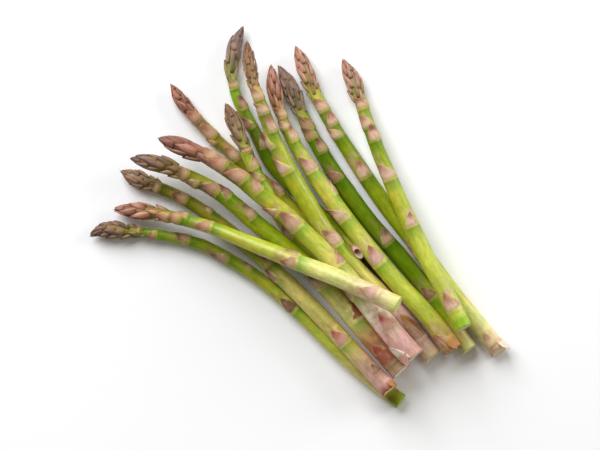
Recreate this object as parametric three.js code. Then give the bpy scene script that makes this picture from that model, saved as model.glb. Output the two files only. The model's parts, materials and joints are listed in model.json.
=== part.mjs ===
// Bundle of green asparagus: thirteen cut spears lying together as a loose fan.
// Millimetres, +Z up, the floor at Z = 0, tips toward +Y and cut ends toward -Y.
import * as THREE from 'three';

// The fan is laid out on a square grid seen from above: x to the right, y down.
const GRID = 0.6; // side of one grid square, mm
const GRID_ORIGIN = [302, 247.5]; // grid point that lands on the frame's origin
const GRID_TURN = THREE.MathUtils.degToRad(40); // turn that brings the tips round to +Y

const SIDES = 12; // facets round a spear
const HEAD_RINGS = [0.07, 0.18, 0.32, 0.5, 0.68, 0.85, 1]; // fractions of the head's length
const STEM_RINGS = 15; // rings from the neck down to the cut
const SAMPLES = 130; // points along an axis when it is measured or laid down
const CLEARANCE = 0.5; // air kept between two spears, mm

const SCALE_GAP = 0.42; // air between a scale leaf and its stem, mm
const SCALE_THICKNESS = 0.45; // mm
const SCALE_WRAP = THREE.MathUtils.degToRad(104); // how far a scale's base reaches round the stem
const SCALE_ROWS = 5; // rows of points from a scale's base to its point
const SCALE_COLUMNS = 4; // strips across a scale

// Outline of a head, as [fraction of its length, fraction of its width], tip to widest place.
const HEAD_OUTLINE = [[0, 0], [0.05, 0.26], [0.12, 0.5], [0.22, 0.74], [0.34, 0.92], [0.48, 1]];
// Places along a stem, neck to cut, where its width is given.
const STEM_MARKS = [0, 0.25, 0.5, 1];

const COLOURS = {
  stem_deep_green: '#5f8a1c',
  stem_olive: '#8a8f26',
  stem_yellow_green: '#9db23a',
  stem_pale: '#c3cc78',
  scale_leaf: '#a97f6c',
};

// One entry per spear, in the order they are laid down, lowest first.
// head: [length, width] mm.  stem: width at each of STEM_MARKS, mm.
// cut: degrees the cut face leans up from square to the axis.
// axis: grid points from the tip to the cut end.
// scales: one [tip x, tip y, base x, base y] on the grid for each large scale leaf.
const SPEARS = [
  {
    name: 'spear_01', colour: 'stem_deep_green', head: [32, 10.4], stem: [6.1, 7.9, 8.6, 10.2], cut: 8,
    axis: [[90, 236], [96, 232], [106, 230], [118, 230.5], [132, 231.3], [150, 233], [165, 236],
      [185, 240], [206, 247], [226, 257.5], [264, 282.5], [299, 313], [345, 357], [386, 391], [401, 402]],
    scales: [[174, 233, 190, 240], [210, 254, 226, 262], [280, 298, 295, 312]],
  },
  {
    name: 'spear_11', colour: 'stem_deep_green', head: [34, 10.2], stem: [8, 10.1, 10.8, 10.5], cut: 10,
    axis: [[278.5, 65.5], [287, 80], [297, 102], [307, 125], [322, 153], [345, 188],
      [370, 222], [403, 260], [437, 304], [470, 350]],
    scales: [[299, 116, 312, 129], [316, 137, 327, 150], [328, 170, 339, 180], [381, 228, 391, 243]],
  },
  {
    name: 'spear_12', colour: 'stem_yellow_green', head: [32, 9.8], stem: [7.5, 9.8, 10.7, 11.4], cut: 18,
    axis: [[295.5, 46], [302, 61], [311, 84], [321, 105], [337, 132], [357, 163],
      [382.5, 200.5], [414.5, 242], [456, 297.5], [500, 351.5]],
    scales: [[315, 100, 326, 110], [328, 130, 338, 140], [358, 161, 367, 178]],
  },
  {
    name: 'spear_06', colour: 'stem_olive', head: [27, 8.7], stem: [7.6, 7.9, 8.6, 10], cut: 5,
    axis: [[170.5, 84], [180, 98.5], [193, 115], [215, 138.5], [238, 159], [251, 171],
      [265, 183.5], [279, 196], [298, 215], [311, 230]],
    scales: [[200, 124, 217, 137], [224, 147, 240, 158]],
  },
  {
    name: 'spear_08', colour: 'stem_deep_green', head: [36, 9.5], stem: [6.2, 7.8, 8.4, 7.6], cut: 38,
    axis: [[243, 26], [236, 43], [232, 60], [232, 78], [235.5, 94], [241, 106], [255, 132],
      [270, 162], [291, 185.5], [313, 206.5], [337, 229.5], [358.5, 253.5]],
    scales: [[228, 78, 236, 89], [238, 95, 248, 108]],
  },
  {
    name: 'spear_07', colour: 'stem_yellow_green', head: [30, 10], stem: [7.4, 8.1, 8.4, 9], cut: 5,
    axis: [[226, 104], [233, 119], [241, 139], [245.3, 150], [251, 163], [260, 179],
      [269, 195], [277, 212], [287, 227.5], [301, 242.5], [319, 259]],
    scales: [[250, 172, 258, 182]],
  },
  {
    name: 'spear_03', colour: 'stem_olive', head: [24, 10.2], stem: [7.3, 8.9, 10.2, 11.4], cut: 5,
    axis: [[120.5, 171], [139, 179.5], [156, 186], [185, 199.8], [203, 211], [235, 236],
      [268, 264], [300, 295], [347, 344], [389.5, 390]],
    scales: [[172, 194, 187, 200], [333, 333, 347, 346], [372, 365, 380, 374]],
  },
  {
    name: 'spear_04', colour: 'stem_olive', head: [35, 11], stem: [8.5, 10.4, 11.4, 13.2], cut: 10,
    axis: [[131, 158.5], [145, 161.3], [165, 166], [190, 176.7], [205, 184.3], [225, 197],
      [250, 218], [280, 243], [309, 267.3], [356, 320.7], [401, 371]],
    scales: [[198, 184, 219, 193], [240, 203, 257, 215], [372, 345, 392, 364]],
  },
  {
    name: 'spear_09', colour: 'stem_yellow_green', head: [29, 8], stem: [6.6, 11.1, 11.7, 12.3], cut: 12,
    axis: [[247, 42], [249, 58], [251, 72], [255, 89], [262, 107], [270, 129], [286, 166],
      [306, 200], [329, 237.5], [361.5, 275.5], [387, 301], [411, 329], [433.2, 357.3]],
    scales: [[253, 102, 267, 114], [267, 116, 278, 132], [270, 158, 285, 175]],
  },
  {
    name: 'spear_10', colour: 'stem_yellow_green', head: [32, 9.4], stem: [6.6, 10.6, 11, 12.3], cut: 8,
    axis: [[271, 65], [273, 82], [276.5, 100], [283, 120], [293, 141], [308, 165], [332, 200],
      [362, 240], [395, 280], [431, 320], [452.5, 350]],
    scales: [[289, 125, 299, 140], [326, 208, 344, 221], [370, 247, 380, 265]],
  },
  {
    name: 'spear_13', colour: 'stem_yellow_green', head: [31, 10], stem: [7.8, 9.2, 10.8, 10.7], cut: 4,
    axis: [[343, 59], [349.5, 73], [355, 86], [361.8, 105.6], [369.4, 127], [378, 150],
      [391, 181], [405, 213], [425, 255], [450.5, 302], [463, 327.5]],
    scales: [[360, 113, 367, 124], [371, 130, 379, 144], [378, 167, 392, 180], [445, 296, 456, 314]],
  },
  {
    name: 'spear_05', colour: 'stem_yellow_green', head: [33, 11.6], stem: [9.4, 11.2, 11.8, 15], cut: 6,
    axis: [[159, 138.5], [174, 143.5], [195, 152], [208, 158], [225, 168], [240, 178],
      [262, 196], [283, 213], [303, 232], [333, 261], [365, 300], [400, 342], [413, 357]],
    scales: [[206, 160, 228, 167], [263, 208, 274, 215], [281, 213, 298, 229], [378, 312, 395, 332]],
  },
  {
    name: 'spear_02', colour: 'stem_pale', head: [31, 10.3], stem: [7.4, 8.6, 10.6, 11.4], cut: 2,
    axis: [[114, 209.5], [138, 211], [161, 214], [190, 221.5], [214, 228.5], [236, 237.3],
      [260, 246.7], [282, 255.3], [305, 265], [340, 278.5], [380, 296.7], [397, 304.3]],
    scales: [[170, 217, 183, 220], [200, 227, 215, 228], [285, 262, 303, 268]],
  },
];

// Grid point to the frame, in plan.
function toPlan(x, y) {
  const right = (x - GRID_ORIGIN[0]) * GRID;
  const up = (GRID_ORIGIN[1] - y) * GRID;
  const c = Math.cos(GRID_TURN);
  const s = Math.sin(GRID_TURN);
  return new THREE.Vector3(right * c + up * s, up * c - right * s, 0);
}

// Straight-line reading of a table of [position, value] pairs.
function read(table, at) {
  for (let i = 1; i < table.length; i += 1) {
    const [x0, y0] = table[i - 1];
    const [x1, y1] = table[i];
    if (at <= x1) return y0 + ((y1 - y0) * Math.max(at - x0, 0)) / (x1 - x0);
  }
  return table[table.length - 1][1];
}

// Radius of a spear at a distance from its tip.
function radiusAt(spear, distance) {
  const [headLength, headWidth] = spear.head;
  const neck = spear.stem[0];
  const u = distance / headLength;
  const widest = HEAD_OUTLINE[HEAD_OUTLINE.length - 1][0];
  if (u <= widest) return (headWidth / 2) * read(HEAD_OUTLINE, u);
  if (u < 1) {
    const ease = THREE.MathUtils.smoothstep(u, widest, 1);
    return THREE.MathUtils.lerp(headWidth, neck, ease) / 2;
  }
  const v = (distance - headLength) / (spear.length - headLength);
  return read(STEM_MARKS.map((mark, i) => [mark, spear.stem[i]]), v) / 2;
}

// Even points along a spear's axis in plan, each with its distance from the tip and its radius.
function measure(spear) {
  const curve = new THREE.CatmullRomCurve3(spear.axis.map(([x, y]) => toPlan(x, y)), false, 'centripetal');
  curve.arcLengthDivisions = 400;
  spear.length = curve.getLength();
  spear.points = curve.getSpacedPoints(SAMPLES).map((at, i) => {
    const distance = (spear.length * i) / SAMPLES;
    return { at, distance, radius: radiusAt(spear, distance) };
  });
}

// Lowest height the axis may have at a point, over the floor and over the spears already down.
function floorUnder(point, laid) {
  let height = point.radius;
  for (const spear of laid) {
    for (const other of spear.points) {
      const reach = point.radius + other.radius + CLEARANCE;
      const dx = point.at.x - other.at.x;
      const dy = point.at.y - other.at.y;
      const room = reach * reach - dx * dx - dy * dy;
      if (room > 0) height = Math.max(height, other.at.z + Math.sqrt(room));
    }
  }
  return height;
}

// Lay a spear down as a straight rod: it comes to rest on the two places, one each side of its
// balance point, that hold it highest there.
function layDown(spear, laid) {
  const { points } = spear;
  const low = points.map((point) => floorUnder(point, laid));
  const weight = points.reduce((sum, p) => sum + p.radius ** 2, 0);
  const balance = points.reduce((sum, p) => sum + p.distance * p.radius ** 2, 0) / weight;
  let rest = { height: -Infinity };
  points.forEach((a, i) => {
    if (a.distance > balance) return;
    points.forEach((b, j) => {
      if (b.distance <= balance) return;
      const slope = (low[j] - low[i]) / (b.distance - a.distance);
      const height = low[i] + slope * (balance - a.distance);
      if (height > rest.height) rest = { height, slope };
    });
  });
  for (const point of points) point.at.z = rest.height + rest.slope * (point.distance - balance);
}

// Position and directions on a spear's axis: along it, level to its side, and up from it.
function frameAt(spear, distance) {
  const u = THREE.MathUtils.clamp((distance / spear.length) * SAMPLES, 0, SAMPLES - 0.001);
  const i = Math.floor(u);
  const a = spear.points[i].at;
  const b = spear.points[i + 1].at;
  const before = spear.points[Math.max(i - 3, 0)].at;
  const after = spear.points[Math.min(i + 4, SAMPLES)].at;
  const along = after.clone().sub(before).normalize();
  const side = new THREE.Vector3(-along.y, along.x, 0).normalize();
  const up = new THREE.Vector3().crossVectors(along, side);
  return { centre: a.clone().lerp(b, u - i), along, side, up };
}

// Point at an angle round the axis (0 is the top) and a distance out from it.
function around(frame, angle, radius) {
  return frame.centre.clone()
    .addScaledVector(frame.up, Math.cos(angle) * radius)
    .addScaledVector(frame.side, Math.sin(angle) * radius);
}

function meshOf(name, colour, vertices, faces) {
  const geometry = new THREE.BufferGeometry();
  geometry.setAttribute('position', new THREE.Float32BufferAttribute(vertices.flatMap((v) => v.toArray()), 3));
  geometry.setIndex(faces.flat());
  geometry.computeVertexNormals();
  const material = new THREE.MeshStandardMaterial({ color: COLOURS[colour], roughness: 0.55, metalness: 0 });
  material.name = colour;
  const mesh = new THREE.Mesh(geometry, material);
  mesh.name = name;
  return mesh;
}

// A spear: a point at the tip, rings down to the cut end, and the cut face.
function spearMesh(spear) {
  const [headLength] = spear.head;
  const distances = HEAD_RINGS.map((u) => u * headLength);
  for (let i = 1; i <= STEM_RINGS; i += 1) {
    distances.push(headLength + ((spear.length - headLength) * i) / STEM_RINGS);
  }
  const vertices = [frameAt(spear, 0).centre];
  const lean = Math.tan(THREE.MathUtils.degToRad(spear.cut));
  distances.forEach((distance, ring) => {
    const frame = frameAt(spear, distance);
    const radius = radiusAt(spear, distance);
    const isCut = ring === distances.length - 1;
    for (let k = 0; k < SIDES; k += 1) {
      const angle = (2 * Math.PI * k) / SIDES;
      const vertex = around(frame, angle, radius);
      if (isCut) vertex.addScaledVector(frame.along, -lean * radius * Math.cos(angle));
      vertices.push(vertex);
    }
  });
  const end = frameAt(spear, spear.length);
  vertices.push(end.centre);

  const faces = [];
  const last = vertices.length - 1;
  const ringStart = (ring) => 1 + ring * SIDES;
  for (let k = 0; k < SIDES; k += 1) {
    const next = (k + 1) % SIDES;
    faces.push([0, ringStart(0) + k, ringStart(0) + next]);
    for (let ring = 0; ring < distances.length - 1; ring += 1) {
      const a = ringStart(ring);
      const b = ringStart(ring + 1);
      faces.push([a + k, b + k, b + next], [a + k, b + next, a + next]);
    }
    const cut = ringStart(distances.length - 1);
    faces.push([cut + next, cut + k, last]);
  }
  return meshOf(spear.name, spear.colour, vertices, faces);
}

// Where a grid point falls on a spear: distance from the tip and offset to its side.
function locate(spear, x, y) {
  const target = toPlan(x, y);
  let best = { gap: Infinity };
  for (const point of spear.points) {
    const gap = Math.hypot(point.at.x - target.x, point.at.y - target.y);
    if (gap < best.gap) best = { gap, distance: point.distance };
  }
  const frame = frameAt(spear, best.distance);
  return { distance: best.distance, offset: target.sub(frame.centre).setZ(0).dot(frame.side) };
}

// A scale leaf: a thin curved triangle lying close on the stem with its point toward the tip.
function scaleMesh(spear, number, [tipX, tipY, baseX, baseY]) {
  const tip = locate(spear, tipX, tipY);
  const base = locate(spear, baseX, baseY);
  const middle = (tip.distance + base.distance) / 2;
  const lean = (tip.offset + base.offset) / 2 / radiusAt(spear, middle);
  const turn = Math.asin(THREE.MathUtils.clamp(lean, -0.8, 0.8));
  const layers = [SCALE_GAP, SCALE_GAP + SCALE_THICKNESS].map((lift) => {
    const rows = [];
    for (let row = 0; row < SCALE_ROWS; row += 1) {
      const u = row / (SCALE_ROWS - 1);
      const distance = THREE.MathUtils.lerp(base.distance, tip.distance, u);
      const halfWrap = (SCALE_WRAP / 2) * (1 - 0.9 * u ** 1.5);
      const frame = frameAt(spear, distance);
      const radius = radiusAt(spear, distance) + lift;
      for (let k = 0; k <= SCALE_COLUMNS; k += 1) {
        rows.push(around(frame, turn + halfWrap * ((2 * k) / SCALE_COLUMNS - 1), radius));
      }
    }
    return rows;
  });
  const vertices = layers.flat();
  const width = SCALE_COLUMNS + 1;
  const top = width * SCALE_ROWS;
  const faces = [];
  const quad = (a, b, c, d) => faces.push([a, c, b], [a, d, c]);
  for (let row = 0; row < SCALE_ROWS - 1; row += 1) {
    for (let k = 0; k < SCALE_COLUMNS; k += 1) {
      const a = row * width + k;
      quad(a, a + 1, a + width + 1, a + width);
      quad(top + a, top + a + width, top + a + width + 1, top + a + 1);
    }
    const left = row * width;
    const right = left + SCALE_COLUMNS;
    quad(left, left + width, top + left + width, top + left);
    quad(right, top + right, top + right + width, right + width);
  }
  const point = (SCALE_ROWS - 1) * width;
  for (let k = 0; k < SCALE_COLUMNS; k += 1) {
    quad(k, top + k, top + k + 1, k + 1);
    quad(point + k, point + k + 1, top + point + k + 1, top + point + k);
  }
  return meshOf(`${spear.name}_scale_${number}`, 'scale_leaf', vertices, faces);
}

const bundle = new THREE.Group();
bundle.name = 'asparagus_bundle';
SPEARS.forEach(measure);
SPEARS.forEach((spear, i) => layDown(spear, SPEARS.slice(0, i)));
for (const spear of SPEARS) {
  bundle.add(spearMesh(spear));
  spear.scales.forEach((scale, i) => bundle.add(scaleMesh(spear, i + 1, scale)));
}
// Facets and slanting cuts reach a little past the round shapes that were laid down.
const lowest = new THREE.Box3().setFromObject(bundle).min.z;
for (const mesh of bundle.children) mesh.geometry.translate(0, 0, -lowest);

export default bundle;
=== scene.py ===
"""Bundle of green asparagus: thirteen cut spears lying together as a loose fan.

Each spear's axis and thickness are read back from its CAD solid. Over that the script grows
the stem with its leaf shoulders and cut face, the papery scale leaves along it, and the head
of close, pointed bud scales. Lengths are metres, but the tables of leaves, heads, strips and
torn cuts give millimetres.
"""

import json
import math
import random

import bmesh
import bpy
from bpy.props import FloatProperty, FloatVectorProperty, IntProperty, PointerProperty
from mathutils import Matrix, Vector, noise


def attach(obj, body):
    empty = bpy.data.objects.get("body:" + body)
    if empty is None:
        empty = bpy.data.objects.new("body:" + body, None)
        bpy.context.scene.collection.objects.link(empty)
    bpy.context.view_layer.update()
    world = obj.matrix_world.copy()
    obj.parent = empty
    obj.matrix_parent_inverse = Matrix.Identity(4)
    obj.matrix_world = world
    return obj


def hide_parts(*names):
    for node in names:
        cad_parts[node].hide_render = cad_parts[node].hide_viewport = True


bl_info = {
    "name": "Bundle of asparagus",
    "version": (1, 0, 0),
    "blender": (4, 5, 0),
    "location": "View3D > Sidebar > Asparagus",
    "description": "Grows the stems, scale leaves and heads of a loose fan of asparagus",
    "category": "Object",
}

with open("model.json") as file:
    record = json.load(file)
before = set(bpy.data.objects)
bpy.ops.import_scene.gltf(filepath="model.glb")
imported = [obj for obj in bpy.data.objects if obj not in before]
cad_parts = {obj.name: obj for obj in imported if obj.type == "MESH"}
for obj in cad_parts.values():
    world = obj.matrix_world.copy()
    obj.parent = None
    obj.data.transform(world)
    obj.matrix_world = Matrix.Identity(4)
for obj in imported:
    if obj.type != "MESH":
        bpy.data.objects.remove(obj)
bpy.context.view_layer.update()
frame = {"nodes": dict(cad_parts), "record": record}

MM = 0.001
BODY = "root"
SEED = 7
GOLDEN_TURN = math.radians(137.5)  # turn from one leaf to the next up a growing shoot

# Leaves that show from above, by the number of the spear: (distance of the base from the tip in
# mm, turn of the base round the stem in degrees, where 0 is the top, length in mm, turn of the
# point, and kind if it is not a plain one).
LEAVES = {
    1: [(31, 35, 4, 50), (41, -25, 6, -40), (61, 15, 10, 45), (87, -35, 12, -45), (102, 45, 6, 55),
        (138, -15, 12, -15, "brown")],
    2: [(35, -50, 8, -15), (42, -5, 8, -10), (46, 80, 7, 70), (62, 5, 10, -20), (118, 80, 9, 50),
        (119, -25, 11, -35), (172, 10, 12, -5, "rosy")],
    3: [(26, -20, 6, 10), (44, 5, 10, -5), (60, 60, 6, 50), (107, 20, 7, 5), (117, -80, 11, -40),
        (173, -10, 12, -15, "crimson"), (199, 25, 7, 25)],
    4: [(36, -15, 7, 15), (44, -75, 8, -45), (57, 0, 13, -25), (64, 60, 10, 55), (83, 50, 11, 35),
        (142, -10, 12, -45), (171, 60, 12, 50, "maroon"), (204, -10, 17, -25, "maroon")],
    5: [(36, 60, 10, 40), (44, 15, 13, -20), (58, 30, 14, -40), (69, 25, 9, 50),
        (86, -50, 10, -70), (101, -10, 15, -5), (134, 40, 9, 70), (155, -90, 10, -90),
        (183, 12, 12, 5, "crimson")],
    6: [(28, 0, 9, -15), (42, 20, 12, -5), (45, -90, 7, -90), (61, 20, 11, 0), (95, 90, 11, 45)],
    7: [(32, 35, 5, -30), (43, 35, 11, 85), (51, -30, 9, -50), (90, -55, 11, -10)],
    8: [(39, 20, 8, -45), (53, 65, 10, 25), (65, -40, 9, -40), (79, 45, 9, 40)],
    9: [(36, 25, 9, -50), (45, 20, 9, -80), (57, 55, 11, 15), (66, -90, 12, -90),
        (83, -35, 13, -80), (136, 45, 14, -10), (212, 35, 21, 5, "dry")],
    10: [(33, 40, 8, -45), (40, -20, 7, -55), (49, 55, 11, 35), (70, 20, 12, -30),
         (89, 90, 10, 90), (105, -20, 13, -85), (139, -10, 14, 10), (203, -25, 12, -45, "dry")],
    11: [(43, 25, 10, -30), (49, -20, 10, -45), (59, 50, 10, 20), (78, -5, 9, -30),
         (127, 15, 11, 30), (169, -5, 10, -15, "brown")],
    12: [(43, 15, 10, -30), (53, 40, 9, 25), (61, -25, 9, -65), (90, 0, 12, 15),
         (148, -45, 10, -55), (217, -15, 10, -5, "pale")],
    13: [(33, 30, 8, -35), (45, -10, 10, -50), (54, 30, 11, 10), (79, 10, 12, -50),
         (110, 8, 9, 30), (167, -5, 13, -15)],
}
LEAF_KINDS = {  # colours of the leaves that are not plain ones: body, then point
    "crimson": ("flush", "crimson"),
    "maroon": ("maroon", "maroon"),
    "brown": ("mauve_brown", "mauve_brown"),
    "dry": ("tan", "straw"),
    "pale": ("cream", "rose_tan"),
    "rosy": ("blush", "rose_tan"),
}
DULL_LEAF = ("umber", "mauve_brown")
PALE_LEAF = ("blush", "rose_brown")
ROSY_LEAF = ("mauve", "rose_brown")

# How each spear looks, by the names of the palette below: the colour of its skin at each place
# from the neck (0) to the cut (1); its plain leaves, body then point; its bud scales, toward
# their points and toward their bases; and its head, as the number of bud scales, the length of
# the longest in mm, how far they stand out in mm, and half the width of one in radians.
LOOKS = {
    1: ({0: "leaf_green", 0.25: "leaf_green", 0.5: "yellow_green", 0.7: "lime", 0.84: "butter",
         0.93: "butter", 0.97: "olive", 1: "leaf_green"},
        DULL_LEAF, ("purple_grey", "olive_tan"), (30, 7, 2.0, 0.5)),
    2: ({0: "olive", 0.08: "leaf_green", 0.2: "yellow_green", 0.5: "lime", 0.72: "pale",
         0.93: "cream", 1: "pale"},
        ("rose_tan", "rose_brown"), ("salmon", "rose_brown"), (18, 12, 1.6, 0.62)),
    3: ({0: "olive", 0.3: "olive", 0.4: "leaf_green", 0.52: "butter", 0.8: "butter", 0.9: "tan",
         0.93: "flush", 0.97: "pink_skin", 1: "maroon"},
        DULL_LEAF, ("brown", "oatmeal"), (34, 7.5, 1.7, 0.48)),
    # Spear 4's butter and pale stops are lighter than its skin: painted light against the shade of
    # the spears over it.
    4: ({0: "olive", 0.12: "leaf_green", 0.5: "leaf_green", 0.62: "butter", 0.75: "pale",
         0.87: "straw", 1: "tan"},
        DULL_LEAF, ("purple_grey", "olive_tan"), (28, 11, 1.5, 0.52)),
    5: ({0: "rose_tan", 0.06: "olive", 0.25: "yellow_green", 0.45: "lime", 0.6: "butter",
         0.7: "pale", 0.78: "husk", 0.88: "blush", 0.95: "pink_skin", 1: "flush"},
        ROSY_LEAF, ("dusky_rose", "rose_brown"), (17, 16, 1.3, 0.75)),
    6: ({0: "rose_tan", 0.12: "ochre_green", 0.6: "ochre_green", 1: "yellow_green"},
        ROSY_LEAF, ("rose_brown", "dusky_rose"), (18, 10, 0.8, 0.75)),
    7: ({0: "yellow_green", 0.15: "yellow_green", 0.3: "lime", 0.6: "yellow_green", 1: "lime"},
        ("tan", "mauve_brown"), ("brown", "oatmeal"), (24, 10, 1.4, 0.5)),
    8: ({0: "bright_green", 0.12: "leaf_green", 0.3: "deep_green", 0.8: "leaf_green",
         0.96: "leaf_green", 1: "flush"},
        DULL_LEAF, ("purple_grey", "oatmeal"), (20, 12, 1.6, 0.55)),
    9: ({0: "khaki", 0.12: "leaf_green", 0.2: "yellow_green", 0.55: "yellow_green", 0.72: "butter",
         0.82: "blush", 0.96: "blush", 1: "cream"},
        PALE_LEAF, ("brown", "tan"), (44, 7, 1.1, 0.47)),
    10: ({0: "khaki", 0.1: "yellow_green", 0.2: "lime", 0.85: "lime", 0.95: "khaki", 1: "straw"},
         PALE_LEAF, ("salmon", "rose_brown"), (22, 15, 0.8, 0.5)),
    11: ({0: "leaf_green", 0.08: "leaf_green", 0.14: "deep_green", 0.6: "deep_green",
          0.85: "leaf_green", 0.93: "khaki", 1: "pale"},
         DULL_LEAF, ("purple_grey", "oatmeal"), (32, 9, 1.5, 0.42)),
    12: ({0: "yellow_green", 0.1: "leaf_green", 0.55: "leaf_green", 0.75: "lime", 0.9: "pale",
          0.96: "cream", 1: "flush"},
         PALE_LEAF, ("salmon", "tan"), (28, 10, 1.5, 0.48)),
    13: ({0: "yellow_green", 0.08: "leaf_green", 0.16: "leaf_green", 0.4: "yellow_green",
          0.8: "lime", 0.95: "lime", 0.97: "bright_green", 1: "bright_green"},
         PALE_LEAF, ("salmon", "oatmeal"), (32, 9, 1.6, 0.47)),
}
# Cut faces that are not the colour of newly cut flesh.
FLESH = {1: "bright_green", 4: "husk", 8: "husk", 9: "husk", 10: "straw", 12: "cream"}
# Torn strips of skin near the cut: where each is rooted (mm from the tip, turn in degrees), its
# length past there (negative if it points to the tip), its half width, how far its point stands
# off, and its colour. Spear 8's lies in the gap beyond its hollow end, dark brown as painted shade
# of that gap.
STRIPS = {
    3: [(206, 40, 6, 2.4, 0.9, "straw")],
    5: [(203.5, -54, -13, 6, 1.5, "husk"), (197, -40, 9, 3.6, 0.9, "flush")],
    8: [(160, 165, 46, 4.2, 0, "core")],
    10: [(198, 20, 9, 3.6, 0.9, "straw")],
    12: [(216, 55, 8, 3.2, 0.9, "husk")],
}
HOLLOW = 8  # the spear whose pith has shrunk away at the cut
RAGGED = {3: 0.9, 5: 0.8, 10: 1.6, 12: 1.8}  # depth in mm of the torn cuts
CLEAN_CUT = 0.25  # depth in mm of the others


def linear(value):
    """An sRGB hex colour as linear red, green and blue."""
    channels = [int(value[i:i + 2], 16) / 255 for i in (1, 3, 5)]
    return tuple(c / 12.92 if c <= 0.04045 else ((c + 0.055) / 1.055) ** 2.4 for c in channels)


def colour(name, value, description):
    """A colour that the user may change."""
    return FloatVectorProperty(name=name, description=description, subtype="COLOR", size=3, min=0,
                               max=1, default=linear(value))


def length(name, value, description):
    """A small length that the user may change."""
    return FloatProperty(name=name, description=description, unit="LENGTH", precision=5, min=0,
                         default=value)


class AsparagusSizes(bpy.types.PropertyGroup):
    """Sizes of what is grown over the CAD spears."""

    stem_sides: IntProperty(name="Stem sides", description="Facets round a stem", min=12, max=96,
                            default=48)
    stem_step: length("Stem step", 0.8 * MM, "Distance between two rings of a stem")
    shoulder: length("Shoulder", 0.5 * MM, "How far a stem swells under the base of a scale leaf")
    leaf_lift: length("Leaf crown", 0.35 * MM, "How far the middle of a leaf stands off the stem")
    leaf_thickness: length("Leaf thickness", 0.22 * MM, "Thickness of a scale leaf")
    bud_thickness: length("Bud scale thickness", 0.3 * MM, "Thickness of a bud scale")


class AsparagusColours(bpy.types.PropertyGroup):
    """Palette of the skins, scale leaves, heads and cut faces."""

    deep_green: colour("Deep green", "#5e7806", "Skin of the darkest stems")
    leaf_green: colour("Leaf green", "#84960c", "Skin between deep and yellow green")
    yellow_green: colour("Yellow green", "#a6b020", "Skin of most stems")
    lime: colour("Lime", "#b4be38", "Light skin of the thick stems")
    bright_green: colour("Bright green", "#93b31f", "Fresh skin close to a new cut")
    ochre_green: colour("Ochre green", "#9c860c", "Skin of the stems that turn golden")
    olive: colour("Olive", "#847d10", "Dull skin near the heads")
    pale: colour("Pale", "#d0d07a", "Skin toward the blanched end")
    butter: colour("Butter", "#c6ba5c", "Thick stems just before they blanch")
    oatmeal: colour("Oatmeal", "#a8947c", "Grey tan at the foot of dull bud scales")
    husk: colour("Husk", "#f0e4ca", "Dried white edge of torn skin")
    cream: colour("Cream", "#dcc898", "Skin of the blanched end")
    pink_skin: colour("Pink skin", "#cb9c96", "Skin that blushed at the cut end")
    tan: colour("Tan", "#b8967a", "Papery light brown")
    olive_tan: colour("Olive tan", "#8a7038", "Brown green at the bases of bud scales")
    khaki: colour("Khaki", "#b8a04c", "Stems where the green fades to brown")
    blush: colour("Blush", "#d6b0a2", "Light scale leaves of the pale stems")
    umber: colour("Umber", "#98705f", "Dull scale leaves of the dark stems")
    rose_tan: colour("Rose tan", "#b3876a", "Light scale leaves")
    rose_brown: colour("Rose brown", "#98604c", "Warm scale leaves and heads")
    mauve_brown: colour("Mauve brown", "#6f4c3a", "Dark scale leaves")
    dusky_rose: colour("Dusky rose", "#8a5b57", "Smooth bud scales of the thickest heads")
    salmon: colour("Salmon", "#b07e70", "Pinkest bud scales")
    brown: colour("Brown", "#855f4a", "Brown bud scales")
    purple_grey: colour("Purple grey", "#70565a", "Darkest bud scales")
    crimson: colour("Crimson", "#b2444a", "Scale leaves that flushed red")
    maroon: colour("Maroon", "#98483a", "Old dark red scale leaf")
    mauve: colour("Mauve", "#b48478", "Scale leaves of the rosy stems")
    straw: colour("Straw", "#b07c48", "Dried scale leaves and skin")
    margin: colour("Leaf margin", "#d9c690", "Thin see-through edge of a scale leaf")
    collar: colour("Collar", "#cdc67c", "Raised line where a scale leaf joins the stem")
    flesh: colour("Flesh", "#d9dc9c", "Cut face")
    strand: colour("Strand", "#a9ad5c", "Fibre strands in the cut face")
    # Dark brown of the bud's closed point; also painted shade in the gaps under the bud scales and
    # on spear 8's strip.
    core: colour("Core", "#6e5040", "Dark gaps, and skin that has dried dark")
    flush: colour("Flush", "#cc9a8e", "Scale leaves with a red point")
    floor: colour("Floor", "#f8f8f8", "Table top")


def sizes():
    return bpy.context.scene.asparagus_sizes


def palette(name):
    """A palette colour as linear red, green, blue and alpha."""
    return (*getattr(bpy.context.scene.asparagus_colours, name), 1.0)


def mix(a, b, share):
    return [x + (y - x) * share for x, y in zip(a, b)]


def smoothstep(low, high, value):
    t = min(max((value - low) / (high - low), 0.0), 1.0)
    return t * t * (3 - 2 * t)


def wrapped(turn):
    """A turn between minus half and plus half a circle."""
    return (turn + math.pi) % (2 * math.pi) - math.pi


def hermite(stops, values, at):
    """Smooth reading of values that are given at rising stops."""
    last = len(stops) - 1
    i = max(k for k in range(last) if stops[k] <= at or k == 0)

    def slope(k):
        low, high = max(k - 1, 0), min(k + 1, last)
        return (values[high] - values[low]) / (stops[high] - stops[low])

    span = stops[i + 1] - stops[i]
    t = (at - stops[i]) / span
    return (values[i] * (1 + 2 * t) * (1 - t) ** 2 + values[i + 1] * t * t * (3 - 2 * t)
            + slope(i) * span * t * (1 - t) ** 2 - slope(i + 1) * span * t * t * (1 - t))


# ---------------------------------------------------------------- the spears, read from the CAD

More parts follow.
